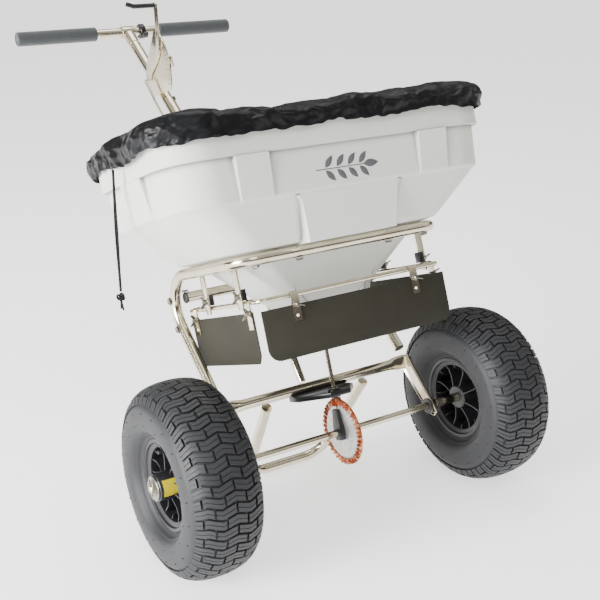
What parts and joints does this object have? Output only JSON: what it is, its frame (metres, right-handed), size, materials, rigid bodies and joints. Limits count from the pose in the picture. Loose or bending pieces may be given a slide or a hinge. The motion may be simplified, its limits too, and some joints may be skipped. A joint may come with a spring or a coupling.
{
  "type": "push broadcast spreader",
  "caption": "Push broadcast spreader: covered hopper on a bent tube frame with a geared spinner, pneumatic wheels, hinged deflectors and a gate lever on the handle.",
  "frame": {"origin": "on the ground at the centre of the parked machine's footprint", "axes": "+Z up, +Y to the rear where the handle is, +X to the machine's right seen in plan with +Y up"},
  "size_m": [0.749, 1.0316, 0.8587],
  "materials": {
    "polyethylene": "moulded, fine grain",
    "coated_nylon": "crinkled, slight sheen",
    "cord": "braided",
    "stainless": "polished, slight straw tint",
    "dark_sheet": "satin",
    "black_plastic": "moulded",
    "tyre_rubber": "moulded tread",
    "foam": "fine cell foam",
    "gear_steel": "sintered, rust tinted"
  },
  "bodies": {
    "frame": {"hopper": "polyethylene", "hopper_cover": "coated_nylon", "drawcord_front": "cord", "drawcord_rear": "cord", "cord_knot": "cord", "outlet_floor": "stainless", "left_gate_runner": "stainless", "right_gate_runner": "stainless", "frame_tube": "stainless", "left_axle_hanger": "stainless", "right_axle_hanger": "stainless", "left_axle_bush": "black_plastic", "right_axle_bush": "black_plastic", "cross_member": "stainless", "rear_cross_tube": "stainless", "centre_strut": "stainless", "stand": "stainless", "shaft_foot": "black_plastic", "shaft_bearing": "black_plastic", "handle_lower_tube": "stainless", "handle_upper_tube": "stainless", "handle_bar": "stainless", "left_grip": "foam", "right_grip": "foam", "stem_bracket": "stainless", "dial_plate": "stainless", "lever_pivot_bolt": "stainless", "deflector_rod": "stainless", "left_rear_strap": "stainless", "left_front_strap": "stainless", "right_rear_strap": "stainless", "right_front_strap": "stainless"},
    "drive_axle": {"axle": "stainless", "drive_gear": "gear_steel", "left_rim": "black_plastic", "left_tyre": "tyre_rubber", "left_washer": "stainless", "right_washer": "stainless", "left_spacer": "stainless", "right_spacer": "stainless"},
    "right_wheel": {"right_rim": "black_plastic", "right_tyre": "tyre_rubber"},
    "spinner": {"pinion": "gear_steel", "spinner_shaft": "stainless", "spinner_disc": "black_plastic", "agitator": "stainless"},
    "lever": {"gate_lever": "stainless", "lever_grip": "black_plastic"},
    "gate": {"shutter_gate": "stainless"},
    "gate_rod": {"control_rod": "stainless"},
    "rate_stop": {"rate_stop": "stainless"},
    "front_flap": {"front_deflector": "dark_sheet", "front_clip_left": "stainless", "front_clip_right": "stainless"},
    "left_flap": {"left_deflector": "dark_sheet", "left_clip_front": "stainless", "left_clip_rear": "stainless"},
    "right_flap": {"right_deflector": "dark_sheet", "right_clip_front": "stainless", "right_clip_rear": "stainless"}
  },
  "joints": [
    {"name": "axle_spin", "type": "hinge", "parent": "frame", "child": "drive_axle", "pos_m": [0, -0.3508, 0.165], "axis": [1, 0, 0], "continuous": true},
    {"name": "right_wheel_spin", "type": "hinge", "parent": "drive_axle", "child": "right_wheel", "pos_m": [0, -0.3508, 0.165], "axis": [1, 0, 0], "continuous": true},
    {"name": "spinner_spin", "type": "hinge", "parent": "frame", "child": "spinner", "pos_m": [0, -0.28932, 0.32349], "axis": [0, 0.3616, 0.9323], "continuous": true},
    {"name": "lever_swing", "type": "hinge", "parent": "frame", "child": "lever", "pos_m": [0, 0.35658, 0.71116], "axis": [1, 0, 0], "range_deg": [0, 60]},
    {"name": "gate_slide", "type": "slide", "parent": "frame", "child": "gate", "axis": [0, 0.9323, -0.3616], "range_m": [0, 0.0342]},
    {"name": "rod_hook", "type": "hinge", "parent": "gate", "child": "gate_rod", "pos_m": [0, -0.11492, 0.30304], "axis": [1, 0, 0], "range_deg": [0, 2.9]},
    {"name": "stop_swing", "type": "hinge", "parent": "frame", "child": "rate_stop", "pos_m": [0, 0.35658, 0.71116], "axis": [1, 0, 0], "range_deg": [-40, 28]},
    {"name": "front_flap_hinge", "type": "hinge", "parent": "frame", "child": "front_flap", "pos_m": [0, -0.37726, 0.45628], "axis": [1, 0, 0], "range_deg": [-80, 8]},
    {"name": "left_flap_hinge", "type": "hinge", "parent": "frame", "child": "left_flap", "pos_m": [-0.182, -0.25605, 0.40927], "axis": [0, 0.9323, -0.3616], "range_deg": [-30, 0]},
    {"name": "right_flap_hinge", "type": "hinge", "parent": "frame", "child": "right_flap", "pos_m": [0.182, -0.25605, 0.40927], "axis": [0, 0.9323, -0.3616], "range_deg": [0, 30]}
  ],
  "couplings": [
    {"joint": "spinner_spin", "follows": "axle_spin", "ratio": -5.7143},
    {"joint": "gate_slide", "follows": "lever_swing", "m_per_rad": 0.03247},
    {"joint": "rod_hook", "follows": "lever_swing", "ratio": 0.0467}
  ]
}
